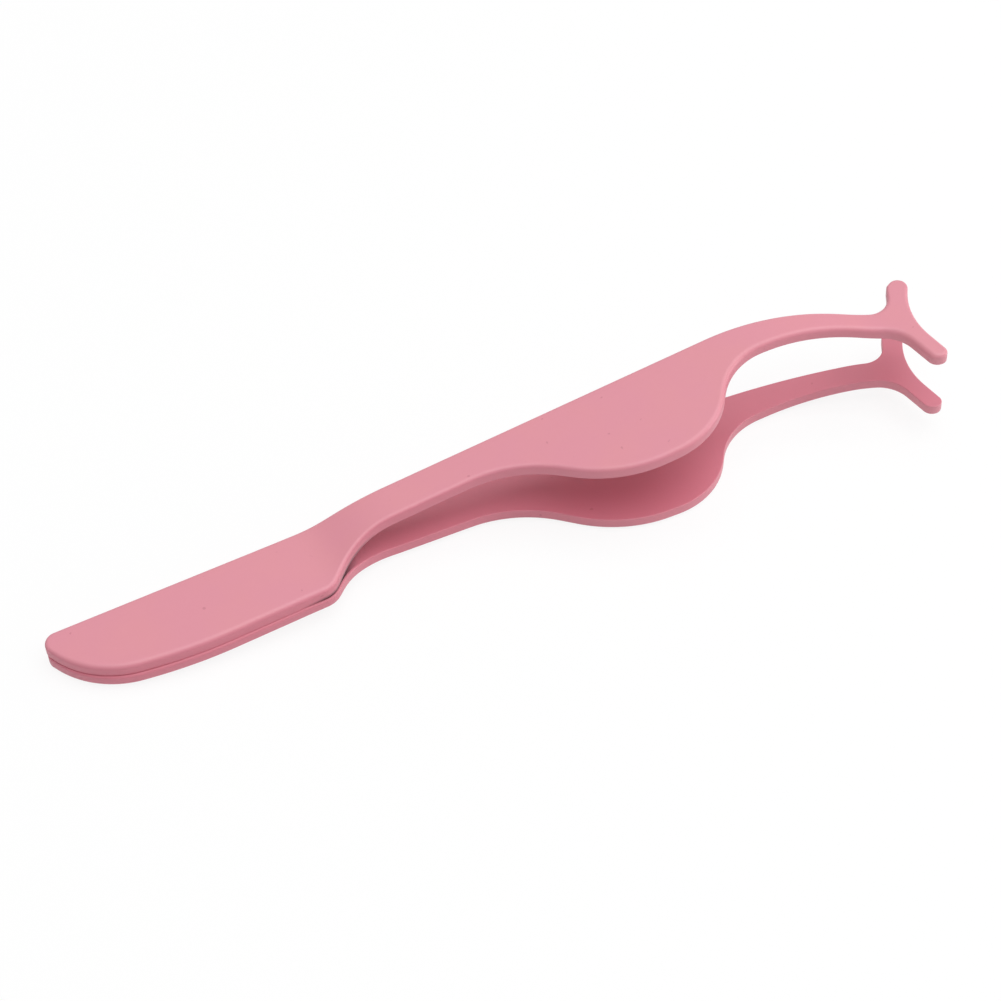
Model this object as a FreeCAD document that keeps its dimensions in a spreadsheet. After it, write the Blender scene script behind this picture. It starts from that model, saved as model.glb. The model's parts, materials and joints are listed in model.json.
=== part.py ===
"""False-lash applicator tweezers: two mirrored sheet-steel leaves, spot welded at the tail.

Frame of the finished part: +X from the tail to the jaw, +Z up, origin at the bottom centre of
the part as it lies on a table, on its tail end and on the crown of the lower leaf.
The leaves are modelled in the seam frame: X along the straight spine edge from the tail end,
Y towards the spine, Z = 0 on the seam. The upper leaf is modelled, the lower one mirrors it.
"""
import FreeCAD, Part
import Sketcher
import math
import os

from FreeCAD import Placement, Rotation, Vector

# Driving dimensions in millimetres. Widths are measured from the spine edge.
SIZES = {
    # sheet
    "sheet_thickness": 1.7,
    "outer_edge_break": 0.35,
    "inner_edge_break": 0.15,
    # outline, along the length: each run starts where the one before it ends
    "tail_length": 32.1,
    "notch_run": 5.0,
    "waist_length": 20.0,
    "belly_front_run": 10.3,
    "belly_length": 12.6,
    "belly_back_run": 6.25,
    "neck_inner_run": 11.8,
    "jaw_run": 10.9,
    "tail_far_lead": 0.95,
    "tail_end_run": 3.05,
    "tail_side_run": 15.6,
    "neck_outer_run": 7.4,
    # outline, across the width
    "tail_end_width": 8.2,
    "tail_width": 9.75,
    "shoulder_width": 9.25,
    "waist_width": 4.5,
    "belly_width": 13.2,
    "neck_width": 4.15,
    "jaw_offset": 7.1,
    # jaw corners, from the middle of the bite: along the length, then across
    "near_crotch_back": 1.85,
    "near_crotch_drop": 1.6,
    "near_heel_back": 0.8,
    "near_heel_drop": 7.35,
    "near_toe_reach": 1.45,
    "near_toe_drop": 7.65,
    "far_toe_reach": 5.0,
    "far_toe_rise": 7.65,
    "far_heel_reach": 0.4,
    "far_heel_rise": 5.3,
    "far_crotch_back": 1.55,
    "far_crotch_rise": 1.5,
    # outline rounds
    "tail_far_round": 1.55,
    "tail_end_round": 11.0,
    "tail_side_round": 48.8,
    "shoulder_round": 2.1,
    "notch_round": 10.6,
    "waist_round": 15.3,
    "belly_front_round": 15.9,
    "belly_back_round": 10.2,
    "crotch_round": 8.65,
    "neck_inner_round": 26.9,
    "near_crotch_round": 4.55,
    "near_heel_round": 1.8,
    "near_toe_round": 0.5,
    "bite_round": 9.85,
    "far_toe_round": 1.2,
    "far_heel_round": 0.75,
    "far_crotch_round": 2.65,
    "neck_outer_round": 46.1,
    # side profile of the inner face: heights above the seam, and the bends between them
    "parting_past_shoulder": 0.95,
    "joggle_run": 6.8,
    "joggle_height": 1.8,
    "crown_past_crotch": 7.4,
    "crown_height": 5.62,
    "toe_past_crown": 10.6,
    "toe_height": 3.58,
    "tip_height": 3.69,
    "parting_round": 10.9,
    "joggle_round": 26.4,
    "crown_round": 60.1,
    "toe_round": 15.4,
    # flexure and welds
    "flexure_past_notch": 10.0,
    "weld_diameter": 3.5,
    "weld_depth": 0.5,
    "first_weld": 8.0,
    "weld_pitch": 9.0,
}
WELD_COUNT = 3
REACH = 200.0  # longer than the part, for cuts that go right through
UPRIGHT = 1e-4  # an upright face's normal leans less than this
FACING = 0.5  # a face that looks up or down has a normal that leans more than this
ROUNDED_SHARE = 0.99  # most of a straight run that the rounds at its two ends may take

# Stations along the leaf, as expressions: each run starts where the one before it ends.
SHOULDER = "sizes.tail_length"
NOTCH = SHOULDER + " + sizes.notch_run"
WAIST = NOTCH + " + sizes.waist_length"
BELLY_FRONT = WAIST + " + sizes.belly_front_run"
BELLY_BACK = BELLY_FRONT + " + sizes.belly_length"
CROTCH = BELLY_BACK + " + sizes.belly_back_run"
NECK_INNER = CROTCH + " + sizes.neck_inner_run"
BITE = NECK_INNER + " + sizes.jaw_run"
BITE_ACROSS = "-sizes.jaw_offset"
PARTING = SHOULDER + " + sizes.parting_past_shoulder"
CROWN = CROTCH + " + sizes.crown_past_crotch"

# Corners of the outline before rounding, anticlockwise: name, along, across.
# The sheet's NAME_round rounds each of them, as far as the runs beside it leave room.
OUTLINE = [
    ("tail_far", "-sizes.tail_far_lead", "0"),
    ("tail_end", "sizes.tail_end_run", "-sizes.tail_end_width"),
    ("tail_side", "sizes.tail_side_run", "-sizes.tail_width"),
    ("shoulder", SHOULDER, "-sizes.shoulder_width"),
    ("notch", NOTCH, "-sizes.waist_width"),
    ("waist", WAIST, "-sizes.waist_width"),
    ("belly_front", BELLY_FRONT, "-sizes.belly_width"),
    ("belly_back", BELLY_BACK, "-sizes.belly_width"),
    ("crotch", CROTCH, "-sizes.neck_width"),
    ("neck_inner", NECK_INNER, "-sizes.neck_width"),
    ("near_crotch", BITE + " - sizes.near_crotch_back", BITE_ACROSS + " - sizes.near_crotch_drop"),
    ("near_heel", BITE + " - sizes.near_heel_back", BITE_ACROSS + " - sizes.near_heel_drop"),
    ("near_toe", BITE + " + sizes.near_toe_reach", BITE_ACROSS + " - sizes.near_toe_drop"),
    ("bite", BITE, BITE_ACROSS),
    ("far_toe", BITE + " + sizes.far_toe_reach", BITE_ACROSS + " + sizes.far_toe_rise"),
    ("far_heel", BITE + " + sizes.far_heel_reach", BITE_ACROSS + " + sizes.far_heel_rise"),
    ("far_crotch", BITE + " - sizes.far_crotch_back", BITE_ACROSS + " + sizes.far_crotch_rise"),
    ("neck_outer", CROTCH + " + sizes.neck_outer_run", "0"),
]

# Corners of the inner face's side profile: name, along, height above the seam.
# The sheet's NAME_round bends each of them, except the two ends.
PROFILE = [
    ("root", "-(" + BITE + ")", "0"),
    ("parting", PARTING, "0"),
    ("joggle", PARTING + " + sizes.joggle_run", "sizes.joggle_height"),
    ("crown", CROWN, "sizes.crown_height"),
    ("toe", CROWN + " + sizes.toe_past_crown", "sizes.toe_height"),
    ("tip", BITE + " + sizes.far_toe_reach", "sizes.tip_height"),
]


def make_sizes(doc):
    """The spreadsheet of driving dimensions, one aliased plain number a row."""
    sheet = doc.addObject("Spreadsheet::Sheet", "sizes")
    for row, (name, value) in enumerate(SIZES.items(), start=1):
        sheet.set("A%d" % row, name)
        sheet.set("B%d" % row, str(value))
        sheet.setAlias("B%d" % row, name)
    doc.recompute()
    return sheet


def make_values(doc, name, expressions):
    """A variable set of plain numbers, each worked out by its expression."""
    values = doc.addObject("App::VarSet", name)
    for field, expression in expressions.items():
        values.addProperty("App::PropertyFloat", field)
        values.setExpression(field, expression)
    doc.recompute()
    return values


def make_corners(doc, name, table):
    """Each corner's place, worked out from the spreadsheet."""
    places = {}
    for corner, along, across in table:
        places[corner + "_along"] = along
        places[corner + "_across"] = across
    return make_values(doc, name, places)


def make_rounds(doc, path, table, rounded):
    """Each corner's radius: its size, or less where the runs beside it are too short for it.

    path names the variable set of the corners' places. The steps to the radii are variable sets
    too: the run that leaves each corner, its length, how much of it the round at each of its
    ends takes, and the share of those rounds that fits on it.
    """
    names = [row[0] for row in table]
    before = dict(zip(names, names[-1:] + names[:-1]))
    after = dict(zip(names, names[1:] + names[:1]))

    runs = {}
    for name in names:
        for field in ("_along", "_across"):
            runs[name + field] = "%s.%s - %s.%s" % (path, after[name] + field, path, name + field)
    make_values(doc, path + "_runs", runs)

    run = path + "_runs."
    lengths = {name: "hypot({0}_along; {0}_across)".format(run + name) for name in names}
    make_values(doc, path + "_lengths", lengths)

    takes = dict.fromkeys(names, "0")
    for name in rounded:
        arrives, leaves = run + before[name], run + name
        cross = "({0}_along * {1}_across - {0}_across * {1}_along)".format(arrives, leaves)
        dot = "({0}_along * {1}_along + {0}_across * {1}_across)".format(arrives, leaves)
        both = "{0}_lengths.{1} * {0}_lengths.{2}".format(path, before[name], name)
        takes[name] = "sizes.%s_round * abs(%s) / (%s + %s)" % (name, cross, both, dot)
    make_values(doc, path + "_takes", takes)

    fits = {}
    for name in names:
        wanted = "({0}_takes.{1} + {0}_takes.{2})".format(path, name, after[name])
        room = "%s * %s_lengths.%s" % (ROUNDED_SHARE, path, name)
        fits[name] = "%s > %s ? %s / %s : 1" % (wanted, room, room, wanted)
    make_values(doc, path + "_fits", fits)

    radii = {}
    for name in rounded:
        radii[name] = "sizes.{1}_round * min({0}_fits.{2}; {0}_fits.{1})".format(path, name, before[name])
    return make_values(doc, path + "_rounds", radii)


def corner_places(corners, table):
    places = []
    for corner, *_ in table:
        places.append(Vector(getattr(corners, corner + "_along"), getattr(corners, corner + "_across"), 0))
    return places


def round_corner(before, corner, after, radius):
    """Centre, start and end of the arc that rounds a corner, and +1 where it turns left."""
    inward = (corner - before).normalize()
    outward = (after - corner).normalize()
    turn = math.atan2(inward.cross(outward).z, inward.dot(outward))
    tangent = radius * math.tan(abs(turn) / 2)
    start = corner - inward * tangent
    side = math.copysign(1, turn)
    centre = start + Vector(-inward.y, inward.x, 0) * radius * side
    return centre, start, corner + outward * tangent, side


def add_line(sketch, start, end):
    return sketch.addGeometry(Part.LineSegment(start, end))


def add_arc(sketch, centre, start, end, side):
    """Adds an arc; returns its number and its vertex numbers where the path enters and leaves."""
    first, last = (start, end) if side > 0 else (end, start)
    circle = Part.Circle(centre, Vector(0, 0, 1), (start - centre).Length)
    number = sketch.addGeometry(Part.ArcOfCircle(circle, circle.parameter(first), circle.parameter(last)))
    return (number, 1, 2) if side > 0 else (number, 2, 1)


def bind(sketch, constraint, name, expression):
    """Adds a constraint whose value follows an expression."""
    number = sketch.addConstraint(constraint)
    sketch.renameConstraint(number, name)
    sketch.setExpression("Constraints." + name, expression)


def bind_radius(sketch, arc, name, expression):
    radius = sketch.Geometry[arc].Radius
    bind(sketch, Sketcher.Constraint("Radius", arc, radius), name + "_r", expression)


def bind_point(sketch, geometry, vertex, place, name, source):
    """Holds a point at a corner's distances from the sketch's origin."""
    bind(sketch, Sketcher.Constraint("DistanceX", -1, 1, geometry, vertex, place.x),
         name + "_x", "%s.%s_along" % (source, name))
    bind(sketch, Sketcher.Constraint("DistanceY", -1, 1, geometry, vertex, place.y),
         name + "_y", "%s.%s_across" % (source, name))


def bind_corner(sketch, name, place, line_in, line_out, source):
    """Puts the meeting point of two lines at the corner's place."""
    point = sketch.addGeometry(Part.Point(place), True)
    sketch.addConstraint(Sketcher.Constraint("PointOnObject", point, 1, line_in))
    sketch.addConstraint(Sketcher.Constraint("PointOnObject", point, 1, line_out))
    bind_point(sketch, point, 1, place, name, source)


def join(sketch, line_in, arc, line_out):
    """Makes an arc run smoothly out of one line and into the next."""
    number, enter, leave = arc
    sketch.addConstraint(Sketcher.Constraint("Tangent", line_in, 2, number, enter))
    sketch.addConstraint(Sketcher.Constraint("Tangent", number, leave, line_out, 1))


def new_sketch(body, name, role):
    plane = next(datum for datum in body.Origin.OriginFeatures if datum.Role == role)
    sketch = body.newObject("Sketcher::SketchObject", name)
    sketch.AttachmentSupport = (plane, "")
    sketch.MapMode = "FlatFace"
    return sketch


def draw_outline(sketch, outline, radii):
    """The leaf's closed outline: straight runs joined by an arc at every corner."""
    names = [row[0] for row in OUTLINE]
    corners = corner_places(outline, OUTLINE)
    rounds = []
    for index, name in enumerate(names):
        after = corners[(index + 1) % len(corners)]
        rounds.append(round_corner(corners[index - 1], corners[index], after, getattr(radii, name)))
    lines = []
    for index, (_, _, leaves, _) in enumerate(rounds):
        enters = rounds[(index + 1) % len(rounds)][1]
        lines.append(add_line(sketch, leaves, enters))
    for index, name in enumerate(names):
        arc = add_arc(sketch, *rounds[index])
        join(sketch, lines[index - 1], arc, lines[index])
        bind_radius(sketch, arc[0], name, "outline_rounds." + name)
        bind_corner(sketch, name, corners[index], lines[index - 1], lines[index], "outline")


def draw_profile(sketch, profile, radii, thickness):
    """The bent sheet from the side: the inner face, and the outer face a thickness above it."""
    names = [row[0] for row in PROFILE]
    corners = corner_places(profile, PROFILE)
    root, tip = corners[0], corners[-1]
    rounds = []
    for before, corner, after, name in zip(corners, corners[1:], corners[2:], names[1:]):
        rounds.append(round_corner(before, corner, after, getattr(radii, name)))
    upward = Vector(0, thickness, 0)
    last_run = (tip - corners[-2]).normalize()
    outer_tip = tip + Vector(-last_run.y, last_run.x, 0) * thickness
    outer_rounds = []
    for centre, enters, leaves, side in rounds:
        radius = (enters - centre).Length
        scale = (radius - side * thickness) / radius
        outer_enters = centre + (enters - centre) * scale
        outer_leaves = centre + (leaves - centre) * scale
        outer_rounds.append((centre, outer_enters, outer_leaves, side))

    inner_ends = [root] + [point for _, enters, leaves, _ in rounds for point in (enters, leaves)] + [tip]
    outer_ends = [root + upward]
    outer_ends += [point for _, enters, leaves, _ in outer_rounds for point in (enters, leaves)]
    outer_ends += [outer_tip]
    inner = [add_line(sketch, inner_ends[i], inner_ends[i + 1]) for i in range(0, len(inner_ends), 2)]
    outer = [add_line(sketch, outer_ends[i], outer_ends[i + 1]) for i in range(0, len(outer_ends), 2)]
    root_cap = add_line(sketch, root, root + upward)
    tip_cap = add_line(sketch, tip, outer_tip)

    for index, name in enumerate(names[1:-1]):
        grows = "-" if rounds[index][3] > 0 else "+"
        inner_arc = add_arc(sketch, *rounds[index])
        outer_arc = add_arc(sketch, *outer_rounds[index])
        join(sketch, inner[index], inner_arc, inner[index + 1])
        join(sketch, outer[index], outer_arc, outer[index + 1])
        sketch.addConstraint(Sketcher.Constraint("Coincident", inner_arc[0], 3, outer_arc[0], 3))
        bind_radius(sketch, inner_arc[0], name, "profile_rounds." + name)
        outer_radius = "profile_rounds.%s %s sizes.sheet_thickness" % (name, grows)
        bind_radius(sketch, outer_arc[0], name + "_outer", outer_radius)
        bind_corner(sketch, name, corners[index + 1], inner[index], inner[index + 1], "profile")
    bind_point(sketch, inner[0], 1, root, "root", "profile")
    bind_point(sketch, inner[-1], 2, tip, "tip", "profile")
    sketch.addConstraint(Sketcher.Constraint("Coincident", root_cap, 1, inner[0], 1))
    sketch.addConstraint(Sketcher.Constraint("Coincident", root_cap, 2, outer[0], 1))
    sketch.addConstraint(Sketcher.Constraint("Coincident", tip_cap, 1, inner[-1], 2))
    sketch.addConstraint(Sketcher.Constraint("Coincident", tip_cap, 2, outer[-1], 2))
    sketch.addConstraint(Sketcher.Constraint("Vertical", root_cap))
    sketch.addConstraint(Sketcher.Constraint("Horizontal", outer[0]))
    sketch.addConstraint(Sketcher.Constraint("Perpendicular", tip_cap, inner[-1]))
    sketch.addConstraint(Sketcher.Constraint("Parallel", outer[-1], inner[-1]))


def draw_rectangle(sketch, low, high):
    corners = [low, Vector(high.x, low.y, 0), high, Vector(low.x, high.y, 0)]
    lines = [add_line(sketch, corners[i - 1], corners[i]) for i in range(4)]
    for index, line in enumerate(lines):
        sketch.addConstraint(Sketcher.Constraint("Coincident", lines[index - 1], 2, line, 1))
    sketch.addConstraint(Sketcher.Constraint("Block", lines[0]))
    sketch.addConstraint(Sketcher.Constraint("Block", lines[2]))


def cut_through(body, name, sketch):
    pocket = body.newObject("PartDesign::Pocket", name)
    pocket.Profile = sketch
    pocket.Type = "ThroughAll"
    pocket.SideType = "Symmetric"
    return pocket


def make_flexure(doc):
    """Where the leaf is divided for its spring hinge: on the inner face of the waist."""
    along = NOTCH + " + sizes.flexure_past_notch"
    rise = "(profile.crown_across - profile.joggle_across)"
    slope = rise + " / (profile.crown_along - profile.joggle_along)"
    height = "profile.joggle_across + %s * (%s - profile.joggle_along)" % (slope, along)
    angle = "atan(%s) / 1 deg" % slope
    make_values(doc, "flexure", {"along": along, "height": height, "angle": angle})


def rim_edges(shape, outer):
    """Names of the edges where the upright cut edge of the sheet meets its outer or inner face."""
    names = []
    for number, edge in enumerate(shape.Edges, start=1):
        middle = edge.valueAt((edge.FirstParameter + edge.LastParameter) / 2)
        normals = []
        for face in shape.ancestorsOfType(edge, Part.Face):
            normals.append(face.normalAt(*face.Surface.parameter(middle)))
        upright = any(abs(normal.z) < UPRIGHT for normal in normals)
        facing = any((normal.z if outer else -normal.z) > FACING for normal in normals)
        if upright and facing:
            names.append("Edge%d" % number)
    return names


def break_rim(body, name, base, outer, size):
    """Takes the sharp edge off the sheet's rim, as deburring does."""
    chamfer = body.newObject("PartDesign::Chamfer", name)
    chamfer.Base = (base, rim_edges(base.Shape, outer))
    chamfer.setExpression("Size", "sizes." + size)
    return chamfer


def make_leaf_piece(doc, name, keep_side):
    """One part of the upper leaf: bent strip, cut to the outline and divided at the flexure.

    keep_side is -1 for the tail side of the flexure and +1 for the jaw side.
    """
    body = doc.addObject("PartDesign::Body", name)
    bent = new_sketch(body, name + "_bent_sheet", "XZ_Plane")
    draw_profile(bent, doc.profile, doc.profile_rounds, SIZES["sheet_thickness"])
    strip = body.newObject("PartDesign::Pad", name + "_strip")
    strip.Profile = bent
    strip.SideType = "Symmetric"
    strip.Length = REACH

    blank = new_sketch(body, name + "_outline", "XY_Plane")
    draw_outline(blank, doc.outline, doc.outline_rounds)
    draw_rectangle(blank, Vector(-REACH, -REACH, 0), Vector(REACH, REACH, 0))
    cut_through(body, name + "_blanking", blank)

    beyond = new_sketch(body, name + "_beyond_flexure", "XZ_Plane")
    beyond.setExpression("AttachmentOffset.Base.x", "flexure.along")
    beyond.setExpression("AttachmentOffset.Base.y", "flexure.height")
    beyond.setExpression("AttachmentOffset.Rotation.Angle", "flexure.angle")
    if keep_side < 0:
        draw_rectangle(beyond, Vector(0, -REACH, 0), Vector(REACH, REACH, 0))
    else:
        draw_rectangle(beyond, Vector(-REACH, -REACH, 0), Vector(0, REACH, 0))
    divided = cut_through(body, name + "_division", beyond)
    doc.recompute()
    return body, divided


def make_weld_seats(body, name):
    """Round seats in the tail's inner face, filled by the upper halves of the weld nuggets."""
    sketch = new_sketch(body, name + "_weld_seats", "XY_Plane")
    for index in range(WELD_COUNT):
        along = SIZES["first_weld"] + index * SIZES["weld_pitch"]
        across = -SIZES["tail_width"] / 2
        centre = Vector(along, across, 0)
        circle = Part.Circle(centre, Vector(0, 0, 1), SIZES["weld_diameter"] / 2)
        circle = sketch.addGeometry(circle)
        bind(sketch, Sketcher.Constraint("Diameter", circle, SIZES["weld_diameter"]),
             "weld_%d" % index, "sizes.weld_diameter")
        bind(sketch, Sketcher.Constraint("DistanceX", -1, 1, circle, 3, along),
             "weld_x_%d" % index, "sizes.first_weld + %d * sizes.weld_pitch" % index)
        bind(sketch, Sketcher.Constraint("DistanceY", -1, 1, circle, 3, across),
             "weld_y_%d" % index, "-sizes.tail_width / 2")
    seats = body.newObject("PartDesign::Pocket", name + "_weld_seat_cut")
    seats.Profile = sketch
    seats.Reversed = True
    seats.setExpression("Length", "sizes.weld_depth")
    return seats


def make_tail(doc, name):
    body, divided = make_leaf_piece(doc, name, -1)
    seats = make_weld_seats(body, name)
    doc.recompute()
    if seats.Shape.Volume >= divided.Shape.Volume:
        raise RuntimeError("the weld seats cut nothing")
    break_rim(body, name + "_outer_edge", seats, True, "outer_edge_break")
    doc.recompute()
    return body


def make_arm(doc, name):
    body, divided = make_leaf_piece(doc, name, 1)
    outer_edge = break_rim(body, name + "_outer_edge", divided, True, "outer_edge_break")
    doc.recompute()
    break_rim(body, name + "_inner_edge", outer_edge, False, "inner_edge_break")
    doc.recompute()
    return body


def make_spot_welds(doc):
    """Nuggets of fused steel across the seam, in one node."""
    nuggets = []
    for index in range(WELD_COUNT):
        nugget = doc.addObject("Part::Cylinder", "nugget_%d" % index)
        nugget.setExpression("Radius", "sizes.weld_diameter / 2")
        nugget.setExpression("Height", "2 * sizes.weld_depth")
        nugget.setExpression("Placement.Base.x", "sizes.first_weld + %d * sizes.weld_pitch" % index)
        nugget.setExpression("Placement.Base.y", "-sizes.tail_width / 2")
        nugget.setExpression("Placement.Base.z", "-sizes.weld_depth")
        nuggets.append(nugget)
    welds = doc.addObject("Part::Compound", "spot_welds")
    welds.Links = nuggets
    doc.recompute()
    return welds


def mirror_leaf(doc, name, source):
    """The lower leaf's twin of an upper piece, mirrored in the seam plane."""
    twin = doc.addObject("Part::Mirroring", name)
    twin.Source = source
    twin.Normal = Vector(0, 0, 1)
    doc.recompute()
    return twin


def rest_pitch(profile, radii, tail_start):
    """Angle between the seam and the table that the tail end and the crown lie on."""
    corners = dict(zip([row[0] for row in PROFILE], corner_places(profile, PROFILE)))
    centre, *_ = round_corner(corners["joggle"], corners["crown"], corners["toe"], radii.crown)
    crown_radius = radii.crown + SIZES["sheet_thickness"]
    from_tail = centre - Vector(tail_start + SIZES["outer_edge_break"], SIZES["sheet_thickness"], 0)
    lean = math.asin(crown_radius / from_tail.Length)
    return math.degrees(math.atan2(from_tail.y, from_tail.x) + lean)


def rest_placement(pieces, pitch):
    """Lays the seam frame down on the table, with the origin at the part's bottom centre."""
    tilt = Rotation(Vector(0, 1, 0), -pitch)
    laid = Part.makeCompound([piece.Shape for piece in pieces])
    laid.Placement = Placement(Vector(0, 0, 0), tilt)
    box = laid.optimalBoundingBox(False)
    return Placement(Vector(-box.Center.x, -box.Center.y, -box.ZMin), tilt)


def check_document(doc):
    for item in doc.Objects:
        if "Invalid" in item.State or "Error" in item.State:
            raise RuntimeError("%s failed: %s" % (item.Label, item.State))


def export_pieces(pieces):
    for piece in pieces:
        if piece.Shape.isNull() or not piece.Shape.isValid():
            raise RuntimeError("%s has no valid shape" % piece.Label)
    os.makedirs("parts", exist_ok=True)
    for piece in pieces:
        piece.Shape.exportStep(os.path.join("parts", piece.Label + ".step"))


doc = FreeCAD.newDocument("lash_applicator_tweezers")
make_sizes(doc)
make_corners(doc, "outline", OUTLINE)
make_rounds(doc, "outline", OUTLINE, [row[0] for row in OUTLINE])
profile = make_corners(doc, "profile", PROFILE)
profile_rounds = make_rounds(doc, "profile", PROFILE, [row[0] for row in PROFILE[1:-1]])
make_flexure(doc)

upper_tail = make_tail(doc, "upper_tail")
upper_arm = make_arm(doc, "upper_arm")
lower_tail = mirror_leaf(doc, "lower_tail", upper_tail)
lower_arm = mirror_leaf(doc, "lower_arm", upper_arm)
spot_welds = make_spot_welds(doc)

tail_start = upper_tail.Shape.optimalBoundingBox(False).XMin
pitch = rest_pitch(profile, profile_rounds, tail_start)
rest = rest_placement([upper_tail, upper_arm, lower_tail, lower_arm], pitch)
for piece in (upper_tail, upper_arm, spot_welds):
    piece.Placement = rest
for twin in (lower_tail, lower_arm):
    twin.Base = rest.Base
    twin.Normal = rest.Rotation.multVec(Vector(0, 0, 1))
doc.recompute()

check_document(doc)
export_pieces([upper_tail, upper_arm, lower_tail, lower_arm, spot_welds])
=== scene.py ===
"""The looks of a pair of false-lash applicator tweezers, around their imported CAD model.

Each leaf is drawn in the seam frame, in millimetres: X along the straight spine edge from the
tail end, Y towards the spine, Z = 0 on the seam. It is one bent sheet with a soft, coated rim,
and it stands for the leaf's tail and arm.
"""

import json
import math

import bmesh
import bpy
import numpy as np
from mathutils import Matrix, Vector
from mathutils.geometry import delaunay_2d_cdt


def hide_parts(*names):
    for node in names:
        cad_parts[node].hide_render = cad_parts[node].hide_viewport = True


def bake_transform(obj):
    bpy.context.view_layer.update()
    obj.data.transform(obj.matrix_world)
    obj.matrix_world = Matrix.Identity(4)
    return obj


MM = 0.001

# --- lengths of the leaves, in millimetres ---

# Corners of the leaf's outline, anticlockwise: name, along, across, round.
OUTLINE = [
    ("tail_far", -0.96, 0.04, 1.57),
    ("tail_end", 2.95, -7.96, 10.9),
    ("tail_side", 14.5, -9.73, 57.0),
    ("shoulder", 32.1, -9.23, 2.97),
    ("notch", 37.07, -4.52, 10.68),
    ("waist", 57.06, -4.52, 15.23),
    ("belly_front", 67.35, -13.26, 16.03),
    ("belly_back", 79.98, -13.26, 10.37),
    ("crotch", 86.14, -4.24, 8.69),
    ("neck_inner", 97.98, -4.28, 26.87),
    ("near_crotch", 107.01, -8.79, 4.32),
    ("near_heel", 108.15, -14.7, 1.3),
    ("near_toe", 110.47, -15.03, 0.95),
    ("bite", 109.03, -7.14, 10.1),
    ("far_toe", 113.95, 0.56, 1.21),
    ("far_heel", 109.36, -1.8, 0.76),
    ("far_crotch", 107.4, -5.5, 2.64),
    ("neck_outer", 93.72, 0.04, 45.7),
]
# The lower leaf's spine edge is a little fuller at the waist.
LOWER_OUTLINE = OUTLINE + [("spine_waist", 52.0, 0.42, 90.0)]
JOGGLE_HEIGHT = 1.81
# Corners of the inner face's side profile: name, along, height above the seam, bend.
PROFILE = [
    ("root", -10.0, 0.0, 0.0),
    ("parting", 33.16, 0.0, 15.9),
    ("joggle", 39.83, JOGGLE_HEIGHT, 30.4),
    ("crown", 93.41, 5.72, 63.8),
    ("toe", 104.4, 3.67, 17.0),
    ("tip", 113.92, 3.8, 0.0),
]
THICKNESS = 1.565
# The leaves were welded a little out of line: the lower one lies turned and towards the belly.
SLIP_TURN = math.radians(0.197)
SLIP_ACROSS = -0.32
# Past the last weld the two leaves stand a hair apart.
UNWELDED_FROM = 28.0
UNWELDED_BY = 31.5
UNWELDED_LIFT = 0.1

# The hinges lie here on the leaves, halfway across the waist.
FLEXURE_ALONG = 47.1
WAIST_WIDTH = 4.5

# Rounds of the soft rim that the coating leaves on the blanked sheet, as (along, round) stations
# down the near side and down the spine. The upper leaf is worn roundest along its tail and from
# the back of its belly to its jaw. The inner edges are nearly filled with coating where the
# leaves are welded, and the lower leaf's near one, which stands out there, is rounded over.
UPPER_OUTER_ROUNDS = (
    [(-1, 0.48), (4, 0.6), (30, 0.6), (38, 0.42), (64, 0.5), (84, 0.65), (107.5, 0.65),
     (109.5, 0.45)],
    [(-1, 0.42), (85, 0.42), (95, 0.32)])
LOWER_OUTER_ROUNDS = (
    [(-1, 0.48), (4, 0.6), (30, 0.6), (38, 0.42)],
    [(-1, 0.42)])
SPINE_INNER_ROUNDS = [(-1, 0.2), (5, 0.12), (12, 0.03), (28, 0.03), (34, 0.05), (38, 0.12)]
UPPER_INNER_ROUNDS = (
    [(-1, 0.2), (5, 0.18), (12, 0.1), (17, 0.02), (28, 0.02), (33, 0.05), (37, 0.12)],
    SPINE_INNER_ROUNDS)
LOWER_INNER_ROUNDS = (
    [(-1, 0.25), (5, 0.3), (28, 0.3), (33, 0.2), (37, 0.12)],
    SPINE_INNER_ROUNDS)
# Across the leaf, the near side's rounds go over to the spine's between these two places.
NEAR_SIDE = -5.0
SPINE_SIDE = -2.0
GUARD = 0.06  # flat margin that keeps the rim's shading off the broad faces

# Mesh density
ROUND_STEPS = 8
RUN_STEP = 0.6
ARC_STEP = math.radians(6)
PROFILE_STEP = 0.1
GRID_STEP = 1.2
GRID_MARGIN = 0.4  # share of the grid's step that is kept clear inside the ring
MERGE_WITHIN = 1e-6  # the triangulation takes points nearer than this for one
INSIDE_ONLY = 1  # its result without the triangles outside the ring
TINY = 1e-12  # stands for the rise of a level run

# --- painted shade and painted light on the coating ---

# Painted shade: the outer face keeps the coat's own colour down to where the rim turns over, in
# degrees, and the rim's wall and inner face take a deeper, darker pink for shade, which on the wall
# is lightened again as painted light, as (along, share) stations.
PAINTED_SHADE_FROM = 35.0
PAINTED_SHADE_FULL = 75.0
WALL_PAINTED_LIGHT = [(45, 0.0), (65, 0.4), (104, 0.4), (109, 0.8)]
# Painted shade: the gap between the leaves is painted near black, as (along, share of painted
# shade) stations. The rim's rings that are painted so are counted from the inner face: on the upper
# leaf they are those of the whole inner round, and on the lower one only the innermost.
UPPER_GAP_SHADE = [(28, 0.0), (31, 0.8), (36, 0.8), (40, 0.0)]
UPPER_GAP_SHADE_RINGS = ROUND_STEPS + 3
LOWER_GAP_SHADE = [(27, 0.0), (30, 1.0), (34, 1.0), (36.5, 0.0)]
LOWER_GAP_SHADE_RINGS = 1

# --- colours, linear, and textures ---

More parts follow.
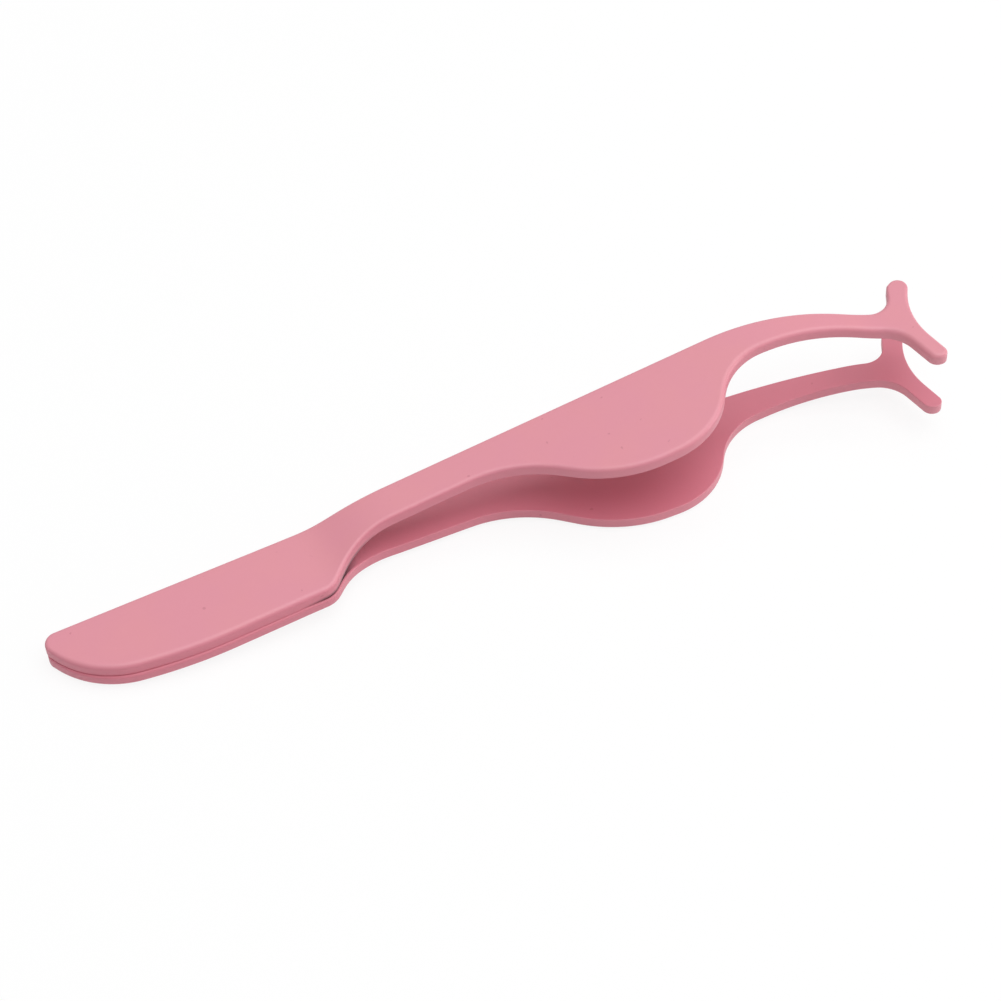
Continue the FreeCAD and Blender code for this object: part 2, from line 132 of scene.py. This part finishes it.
COAT_FACE = (0.715, 0.264, 0.328, 1.0)
COAT_FACE_WARM = (0.723, 0.269, 0.321, 1.0)
# painted shade: a deeper, darker copy of the coat that the rim's walls and the inner faces take
COAT_PAINTED_SHADE = (0.665, 0.193, 0.255, 1.0)
COAT_SPECK = (0.36, 0.07, 0.10, 1.0)
COAT_ROUGHNESS = (0.40, 0.50)
COAT_SPECULAR = 0.65
# painted shade: near black, for the shade in the gap between the leaves
GAP_SHADE_COLOUR = (0.035, 0.015, 0.018, 1.0)
STEEL = (0.52, 0.51, 0.50, 1.0)
STEEL_DARK = (0.36, 0.35, 0.34, 1.0)
STEEL_ROUGHNESS = (0.35, 0.55)
WHITE = (1.0, 1.0, 1.0, 1.0)

# Noise scales, per metre, and the parts of a noise's range that are used
MOTTLE_SCALE = 160.0
PEEL_SCALE = 700.0
SPECK_SCALE = 1300.0
RIPPLE_SCALE = 2500.0
GRAIN_SCALE = 4200.0
MIDDLE_RANGE = (0.35, 0.65)
BROAD_RANGE = (0.3, 0.7)
SPECK_RANGE = (0.84, 0.88)
FULL_SHARE = (0.0, 1.0)
SPECK_SHARE = (0.0, 0.3)
# Bumps: strength, and height in metres
PEEL_BUMP = (0.35, 0.00003)
GRAIN_BUMP = (0.30, 0.00002)
RIPPLE_BUMP = (0.4, 0.00004)

# --- camera, in the seam frame, and studio, in metres ---

CAMERA_AZIMUTH = -23.567
CAMERA_ELEVATION = 50.0
CAMERA_ROLL = -3.856
CAMERA_DISTANCE = 323.18
CAMERA_TARGET = (54.918, -5.678, 0.0)
CAMERA_LENS = 99.61
SENSOR_WIDTH = 36.0

FLOOR_SIZE = 3.0
FLOOR_COLOUR = (0.92, 0.92, 0.92, 1.0)
FLOOR_GLOW = 0.88  # share of the floor's look that is plain white to the camera
AMBIENT = 0.30
KEY_POWER = 13.6
KEY_PLACE = (0.25, -0.1, 1.15)
KEY_SIZE = 1.4
SIDE_POWER = 0.7
SIDE_PLACE = (0.45, -0.2, 0.06)
SIDE_SIZE = 0.25


# --- the seam frame ---

def find_seam_frame(frame):
    """Turn and origin, in millimetres, of the seam frame: it lies halfway between the hinges."""
    hinges = {joint["name"]: Vector(joint["pos_m"]) / MM for joint in frame["joints"]}
    upper, lower = hinges["upper_squeeze"], hinges["lower_squeeze"]
    up = (upper - lower).normalized()
    spine = Vector((0, 1, 0))
    turn = Matrix((spine.cross(up), spine, up)).transposed()
    origin = (upper + lower) / 2 - turn @ Vector((FLEXURE_ALONG, -WAIST_WIDTH / 2, 0))
    return turn, origin


def to_row(seam, point):
    """A seam frame point, in millimetres, as a row frame point in metres."""
    turn, origin = seam
    return (origin + turn @ Vector(point)) * MM


# --- the leaf's shape ---

def sample_path(corners, closed, run_step):
    """Points along straight runs joined by arcs, and the path's direction at each of them."""
    places = [np.array(corner[1:3]) for corner in corners]
    count = len(corners)
    points, directions = [], []
    entries, exits = [], []
    for index, (place, corner) in enumerate(zip(places, corners)):
        inward = place - places[index - 1]
        outward = places[(index + 1) % count] - place
        inward = inward / np.linalg.norm(inward)
        outward = outward / np.linalg.norm(outward)
        turn = math.atan2(inward[0] * outward[1] - inward[1] * outward[0], inward @ outward)
        if not closed and index in (0, count - 1):
            turn = 0.0
        tangent = corner[3] * math.tan(abs(turn) / 2)
        entries.append((place - inward * tangent, inward, turn))
        exits.append((place + outward * tangent, outward))
    for index, (start, inward, turn) in enumerate(entries):
        radius = corners[index][3]
        heading = math.atan2(inward[1], inward[0])
        if not closed and index == 0:
            heading = math.atan2(exits[0][1][1], exits[0][1][0])
        steps = max(1, math.ceil(max(abs(turn) / ARC_STEP, abs(turn) * radius / run_step)))
        side = math.copysign(radius, turn)
        centre = start + side * np.array([-math.sin(heading), math.cos(heading)])
        for step in range(steps + 1 if turn else 1):
            angle = heading + turn * step / steps
            points.append(centre - side * np.array([-math.sin(angle), math.cos(angle)]))
            directions.append((math.cos(angle), math.sin(angle)))
        if not closed and index == count - 1:
            break
        leave, along = exits[index]
        arrive = entries[(index + 1) % count][0]
        steps = max(1, math.ceil(np.linalg.norm(arrive - leave) / run_step))
        for step in range(1, steps):
            points.append(leave + (arrive - leave) * step / steps)
            directions.append(tuple(along))
    return np.array(points), np.array(directions)


def at_stations(along, stations):
    """The value at each place along the leaf, between (along, value) stations."""
    return np.interp(along, *zip(*stations))


def make_heights():
    """Functions of the station that give the heights of the sheet's inner and outer faces."""
    inner, directions = sample_path(PROFILE, False, PROFILE_STEP)
    outer = inner + THICKNESS * np.stack([-directions[:, 1], directions[:, 0]], axis=1)

    def inner_height(along):
        parted = np.clip((along - UNWELDED_FROM) / (UNWELDED_BY - UNWELDED_FROM), 0, 1)
        lift = UNWELDED_LIFT * parted * parted * (3 - 2 * parted)
        return np.maximum(np.interp(along, inner[:, 0], inner[:, 1]), lift)

    def outer_height(along):
        return np.interp(along, outer[:, 0], outer[:, 1])

    return inner_height, outer_height


def slip_lower_leaf(placed):
    """Turns and shifts the lower leaf's points in the seam plane."""
    cosine, sine = math.cos(SLIP_TURN), math.sin(SLIP_TURN)
    along, across = placed[:, 0].copy(), placed[:, 1].copy()
    placed[:, 0] = along * cosine - across * sine
    placed[:, 1] = along * sine + across * cosine + SLIP_ACROSS


def edge_rounds(plan, rounds):
    """How far an edge is rounded at each point of the outline."""
    near_rounds, spine_rounds = rounds
    near = at_stations(plan[:, 0], near_rounds)
    spine = at_stations(plan[:, 0], spine_rounds)
    share = np.clip((plan[:, 1] - NEAR_SIDE) / (SPINE_SIDE - NEAR_SIDE), 0, 1)
    return near + (spine - near) * share


def rim_sections(outer, inner, wall):
    """The rim's cross-section from the outer face to the inner one: inset, height share, share of
    painted light.
    """
    level = np.ones_like(outer)
    sections = [(outer + GUARD, level, level)]
    for step in range(ROUND_STEPS + 1):
        angle = math.pi / 2 * step / ROUND_STEPS
        share = 1 - outer * (1 - math.cos(angle)) / THICKNESS
        # painted shade: as the rim turns over, the coat goes over to its darker pink; the wall's
        # share keeps some lighter colour as painted light
        shade_share = np.clip((math.degrees(angle) - PAINTED_SHADE_FROM) / (PAINTED_SHADE_FULL - PAINTED_SHADE_FROM), 0, 1)
        painted_light_share = 1 + (wall - 1) * shade_share
        sections.append((outer * (1 - math.sin(angle)), share, painted_light_share))
    sections.append((0 * level, (sections[-1][1] + inner / THICKNESS) / 2, wall))
    # painted shade: the inner round goes over fully to the darker pink
    for step in range(ROUND_STEPS + 1):
        angle = math.pi / 2 * (1 - step / ROUND_STEPS)
        share = inner * (1 - math.cos(angle)) / THICKNESS
        sections.append((inner * (1 - math.sin(angle)), share, wall * (1 - step / ROUND_STEPS)))
    for margin in (GUARD, 2 * GUARD):
        sections.append((inner + margin, 0 * level, 0 * level))
    return sections


def join_rings(levels, count):
    """Quads between rings of count points each, from one ring to the next."""
    faces = []
    for level in range(levels - 1):
        first, second = level * count, (level + 1) * count
        for index in range(count):
            beside = (index + 1) % count
            faces.append((first + index, first + beside, second + beside, second + index))
    return faces


def inside(polygon, points, margin):
    """Which points lie inside a closed polygon, and at least a margin from its edges."""
    start, end = polygon, np.roll(polygon, -1, axis=0)
    run = end - start
    offset = points[:, None, :] - start[None]
    share = np.clip((offset * run).sum(2) / (run * run).sum(1), 0, 1)
    gap = np.linalg.norm(offset - share[..., None] * run, axis=2).min(1)
    above = (start[None, :, 1] > points[:, None, 1]) != (end[None, :, 1] > points[:, None, 1])
    rise = np.where(run[:, 1] == 0, TINY, run[:, 1])
    cross = start[None, :, 0] + (points[:, None, 1] - start[None, :, 1]) / rise * run[:, 0]
    odd = (above & (points[:, None, 0] < cross)).sum(1) % 2 == 1
    return odd & (gap > margin)


def fill_face(ring):
    """Grid points inside a ring of plan points, and triangles that join them and the ring."""
    low, high = ring.min(0), ring.max(0)
    columns = np.arange(low[0], high[0], GRID_STEP)
    rows = np.arange(low[1], high[1], GRID_STEP)
    grid = np.array([(x + (row % 2) * GRID_STEP / 2, y)
                     for row, y in enumerate(rows) for x in columns])
    grid = grid[inside(ring, grid, GRID_STEP * GRID_MARGIN)]
    points = [Vector(point) for point in np.vstack([ring, grid])]
    loop = list(range(len(ring)))
    result = delaunay_2d_cdt(points, [], [loop], INSIDE_ONLY, MERGE_WITHIN)
    origins = [original[0] for original in result[3]]
    triangles = [[origins[corner] for corner in face] for face in result[2]]
    return grid, triangles


def add_shell(name, vertices, faces, attributes):
    """A smooth closed mesh with a float at each point for each attribute."""
    mesh = bpy.data.meshes.new(name)
    mesh.from_pydata(vertices.tolist(), [], faces)
    for attribute, values in attributes.items():
        mesh.attributes.new(attribute, "FLOAT", "POINT").data.foreach_set("value", values)
    shell = bmesh.new()
    shell.from_mesh(mesh)
    bmesh.ops.recalc_face_normals(shell, faces=shell.faces)
    shell.to_mesh(mesh)
    shell.free()
    mesh.shade_smooth()
    holder = bpy.data.objects.new(name, mesh)
    bpy.context.scene.collection.objects.link(holder)
    return holder


def make_leaf(name, seam, mirror, outline, outer_rounds, inner_rounds, painted_gap_shade, gap_shade_rings):
    """One bent leaf as a closed mesh; mirror is +1 for the upper leaf and -1 for the lower."""
    plan, directions = sample_path(outline, True, RUN_STEP)
    outward = np.stack([directions[:, 1], -directions[:, 0]], axis=1)
    count = len(plan)
    outer = edge_rounds(plan, outer_rounds)
    inner = edge_rounds(plan, inner_rounds)
    sections = rim_sections(outer, inner, at_stations(plan[:, 0], WALL_PAINTED_LIGHT))
    last = len(sections) - 1

    layers = []  # plan points, and the height share, painted light share and painted gap shade of each
    for level, (inset, share, painted_light_share) in enumerate(sections):
        flat = plan - outward * inset[:, None]
        # painted shade: the innermost rings in the gap are painted near black
        in_gap = float(level > last - gap_shade_rings)
        layers.append((flat, share, painted_light_share, in_gap * at_stations(flat[:, 0], painted_gap_shade)))
    faces = join_rings(len(sections), count)
    total = len(sections) * count
    for level, height_share in ((0, 1.0), (last, 0.0)):
        grid, triangles = fill_face(layers[level][0])
        share = np.full(len(grid), height_share)
        # the outer face keeps the coat's own colour; the inner face takes the painted shade, and in
        # the gap the painted near black
        layers.append((grid, share, share, (1 - share) * at_stations(grid[:, 0], painted_gap_shade)))
        first = level * count
        for triangle in triangles:
            faces.append([first + v if v < count else total + v - count for v in triangle])
        total += len(grid)
    flat, share, painted_light_share, gap_shade_share = (np.concatenate(values) for values in zip(*layers))

    inner_height, outer_height = make_heights()
    low, high = inner_height(flat[:, 0]), outer_height(flat[:, 0])
    placed = np.column_stack([flat, mirror * (low + share * (high - low))])
    if mirror < 0:
        slip_lower_leaf(placed)
    turn, origin = seam
    vertices = (placed @ np.array(turn.transposed()) + np.array(origin)) * MM
    return add_shell(name, vertices, faces, {"painted_light_share": painted_light_share, "painted_gap_shade": gap_shade_share})


# --- materials ---

def new_material(name):
    material = bpy.data.materials.new(name)
    material.use_nodes = True
    material.node_tree.nodes.clear()
    return material, material.node_tree


def feed(tree, socket, value):
    """Links a value that is a socket, and sets any other."""
    if isinstance(value, bpy.types.NodeSocket):
        tree.links.new(value, socket)
    else:
        socket.default_value = value


def add_node(tree, kind, settings=None, **inputs):
    """Adds a node; inputs are values, or sockets to link. Underscores stand for spaces."""
    node = tree.nodes.new(kind)
    for key, value in (settings or {}).items():
        setattr(node, key, value)
    for key, value in inputs.items():
        feed(tree, node.inputs[key.replace("_", " ")], value)
    return node


def add_noise(tree, place, scale, detail=2.0):
    noise = add_node(tree, "ShaderNodeTexNoise", Vector=place, Scale=scale, Detail=detail)
    return noise.outputs["Fac"]


def add_range(tree, value, given, wanted):
    """Maps the given range of a value onto the wanted one."""
    mapped = add_node(tree, "ShaderNodeMapRange", Value=value, From_Min=given[0],
                      From_Max=given[1], To_Min=wanted[0], To_Max=wanted[1])
    return mapped.outputs["Result"]


def add_bump(tree, bump, height, **under):
    """A bump of (strength, height in metres), over another one's normal if it is given."""
    strength, distance = bump
    node = add_node(tree, "ShaderNodeBump", Strength=strength, Distance=distance, Height=height,
                    **under)
    return node.outputs["Normal"]


def add_mix(tree, share, first, second):
    """A colour between two; the node's colour sockets have numbers of their own."""
    mix = add_node(tree, "ShaderNodeMix", {"data_type": "RGBA"})
    for number, value in ((0, share), (6, first), (7, second)):
        feed(tree, mix.inputs[number], value)
    return mix.outputs[2]


def add_math(tree, operation, first, second):
    node = add_node(tree, "ShaderNodeMath", {"operation": operation})
    feed(tree, node.inputs[0], first)
    feed(tree, node.inputs[1], second)
    return node.outputs[0]


def add_shader_mix(tree, share, first, second):
    mix = add_node(tree, "ShaderNodeMixShader")
    for number, value in enumerate((share, first, second)):
        feed(tree, mix.inputs[number], value)
    return mix.outputs[0]


def read_attribute(tree, name):
    return add_node(tree, "ShaderNodeAttribute", {"attribute_name": name}).outputs["Fac"]


def make_coating():
    """Soft matt pink coating: faint mottling, rare specks and a fine powdery grain, with painted
    shade: a darker pink on the rim's walls and inner faces, and near black in the gap between the
    leaves.
    """
    material, tree = new_material("matt_pink_coating")
    place = add_node(tree, "ShaderNodeTexCoord").outputs["Object"]
    mottle = add_range(tree, add_noise(tree, place, MOTTLE_SCALE), MIDDLE_RANGE, FULL_SHARE)
    spots = add_noise(tree, place, SPECK_SCALE, detail=0.0)
    speck = add_range(tree, spots, SPECK_RANGE, SPECK_SHARE)
    face = add_mix(tree, mottle, COAT_FACE, COAT_FACE_WARM)
    # painted shade: the rim's walls and the inner faces take the darker pink, lightened on some
    # walls as painted light
    coat_with_painted_shade = add_mix(tree, read_attribute(tree, "painted_light_share"), COAT_PAINTED_SHADE, face)
    coat = add_mix(tree, speck, coat_with_painted_shade, COAT_SPECK)
    # painted shade: near black in the gap between the leaves
    colour = add_mix(tree, read_attribute(tree, "painted_gap_shade"), coat, GAP_SHADE_COLOUR)
    grain = add_noise(tree, place, GRAIN_SCALE, detail=3.0)
    roughness = add_range(tree, grain, BROAD_RANGE, COAT_ROUGHNESS)
    peeled = add_bump(tree, PEEL_BUMP, add_noise(tree, place, PEEL_SCALE))
    shader = add_node(tree, "ShaderNodeBsdfPrincipled", Base_Color=colour, Roughness=roughness,
                      Normal=add_bump(tree, GRAIN_BUMP, grain, Normal=peeled))
    shader.inputs["Specular IOR Level"].default_value = COAT_SPECULAR
    add_node(tree, "ShaderNodeOutputMaterial", Surface=shader.outputs["BSDF"])
    return material


def make_weld_steel():
    """Fused steel: dull, rippled and slightly darker in the hollows."""
    material, tree = new_material("weld_steel")
    place = add_node(tree, "ShaderNodeTexCoord").outputs["Object"]
    ripple = add_noise(tree, place, RIPPLE_SCALE, detail=4.0)
    colour = add_mix(tree, add_range(tree, ripple, MIDDLE_RANGE, FULL_SHARE), STEEL_DARK, STEEL)
    roughness = add_range(tree, ripple, BROAD_RANGE, STEEL_ROUGHNESS)
    shader = add_node(tree, "ShaderNodeBsdfPrincipled", Base_Color=colour, Roughness=roughness,
                      Metallic=1.0, Normal=add_bump(tree, RIPPLE_BUMP, ripple))
    add_node(tree, "ShaderNodeOutputMaterial", Surface=shader.outputs["BSDF"])
    return material


# --- the studio ---

def add_seen(tree):
    """1 for the rays that show the background as white: the camera's, and what they reflect."""
    rays = add_node(tree, "ShaderNodeLightPath").outputs
    seen = rays["Is Camera Ray"]
    for kind in ("Is Glossy Ray", "Is Transmission Ray"):
        seen = add_math(tree, "MAXIMUM", seen, rays[kind])
    return seen


def make_floor():
    """A matt pale floor that is mostly plain white to the camera, and keeps a faint shadow."""
    mesh = bpy.data.meshes.new("floor")
    half = FLOOR_SIZE / 2
    corners = [(-half, -half, 0), (half, -half, 0), (half, half, 0), (-half, half, 0)]
    mesh.from_pydata(corners, [], [(0, 1, 2, 3)])
    floor = bpy.data.objects.new("floor", mesh)
    bpy.context.scene.collection.objects.link(floor)
    material, tree = new_material("pale_floor")
    seen = add_seen(tree)
    glow = add_math(tree, "MULTIPLY", seen, FLOOR_GLOW)
    matt = add_node(tree, "ShaderNodeBsdfDiffuse", Color=add_mix(tree, seen, FLOOR_COLOUR, WHITE))
    white = add_node(tree, "ShaderNodeEmission", Color=WHITE, Strength=1.0)
    surface = add_shader_mix(tree, glow, matt.outputs[0], white.outputs[0])
    add_node(tree, "ShaderNodeOutputMaterial", Surface=surface)
    mesh.materials.append(material)


def make_world():
    """Even pale surroundings, which the camera and reflections see as plain white."""
    world = bpy.data.worlds.new("studio")
    bpy.context.scene.world = world
    world.use_nodes = True
    tree = world.node_tree
    tree.nodes.clear()
    ambient = add_node(tree, "ShaderNodeBackground", Color=WHITE, Strength=AMBIENT)
    white = add_node(tree, "ShaderNodeBackground", Color=WHITE, Strength=1.0)
    surface = add_shader_mix(tree, add_seen(tree), ambient.outputs[0], white.outputs[0])
    add_node(tree, "ShaderNodeOutputWorld", Surface=surface)


def add_softbox(name, place, size, power):
    """A square area lamp that looks at the middle of the floor."""
    lamp = bpy.data.lights.new(name, "AREA")
    lamp.shape = "SQUARE"
    lamp.size = size
    lamp.energy = power
    holder = bpy.data.objects.new(name, lamp)
    holder.location = place
    holder.rotation_euler = Vector(place).to_track_quat("Z", "Y").to_euler()
    bpy.context.scene.collection.objects.link(holder)


def make_camera(seam):
    azimuth, elevation = math.radians(CAMERA_AZIMUTH), math.radians(CAMERA_ELEVATION)
    roll = math.radians(CAMERA_ROLL)
    level = math.cos(elevation)
    back = Vector((math.sin(azimuth) * level, -math.cos(azimuth) * level, math.sin(elevation)))
    right = Vector((math.cos(azimuth), math.sin(azimuth), 0))
    right = right * math.cos(roll) + back.cross(right) * math.sin(roll)
    axes = Matrix((right, back.cross(right), back)).transposed()
    lens = bpy.data.cameras.new("camera")
    lens.sensor_width = SENSOR_WIDTH
    lens.lens = CAMERA_LENS
    camera = bpy.data.objects.new("camera", lens)
    camera.rotation_euler = (seam[0] @ axes).to_euler()
    camera.location = to_row(seam, Vector(CAMERA_TARGET) + back * CAMERA_DISTANCE)
    bpy.context.scene.collection.objects.link(camera)
    bpy.context.scene.camera = camera


# --- the scene ---

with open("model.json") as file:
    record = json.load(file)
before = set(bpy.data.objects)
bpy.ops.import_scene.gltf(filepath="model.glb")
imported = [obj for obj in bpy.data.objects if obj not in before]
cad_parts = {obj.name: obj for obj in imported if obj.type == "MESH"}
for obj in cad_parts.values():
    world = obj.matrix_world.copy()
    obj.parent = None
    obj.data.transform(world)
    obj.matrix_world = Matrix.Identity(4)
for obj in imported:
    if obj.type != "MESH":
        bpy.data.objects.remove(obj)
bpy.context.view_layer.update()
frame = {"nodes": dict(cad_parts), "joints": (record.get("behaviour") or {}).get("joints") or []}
seam = find_seam_frame(frame)
make_camera(seam)

coating = make_coating()
for side, mirror, *look in (
        ("upper", 1, OUTLINE, UPPER_OUTER_ROUNDS, UPPER_INNER_ROUNDS,
         UPPER_GAP_SHADE, UPPER_GAP_SHADE_RINGS),
        ("lower", -1, LOWER_OUTLINE, LOWER_OUTER_ROUNDS, LOWER_INNER_ROUNDS,
         LOWER_GAP_SHADE, LOWER_GAP_SHADE_RINGS)):
    leaf = make_leaf(side + "_leaf_sheet", seam, mirror, *look)
    leaf.data.materials.append(coating)
    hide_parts(side + "_tail", side + "_arm")
    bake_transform(leaf)

welds = frame["nodes"]["spot_welds"]
welds.data.materials.clear()
welds.data.materials.append(make_weld_steel())

make_floor()
make_world()
add_softbox("key", KEY_PLACE, KEY_SIZE, KEY_POWER)
add_softbox("side", SIDE_PLACE, SIDE_SIZE, SIDE_POWER)

bpy.context.scene.view_settings.view_transform = "Standard"
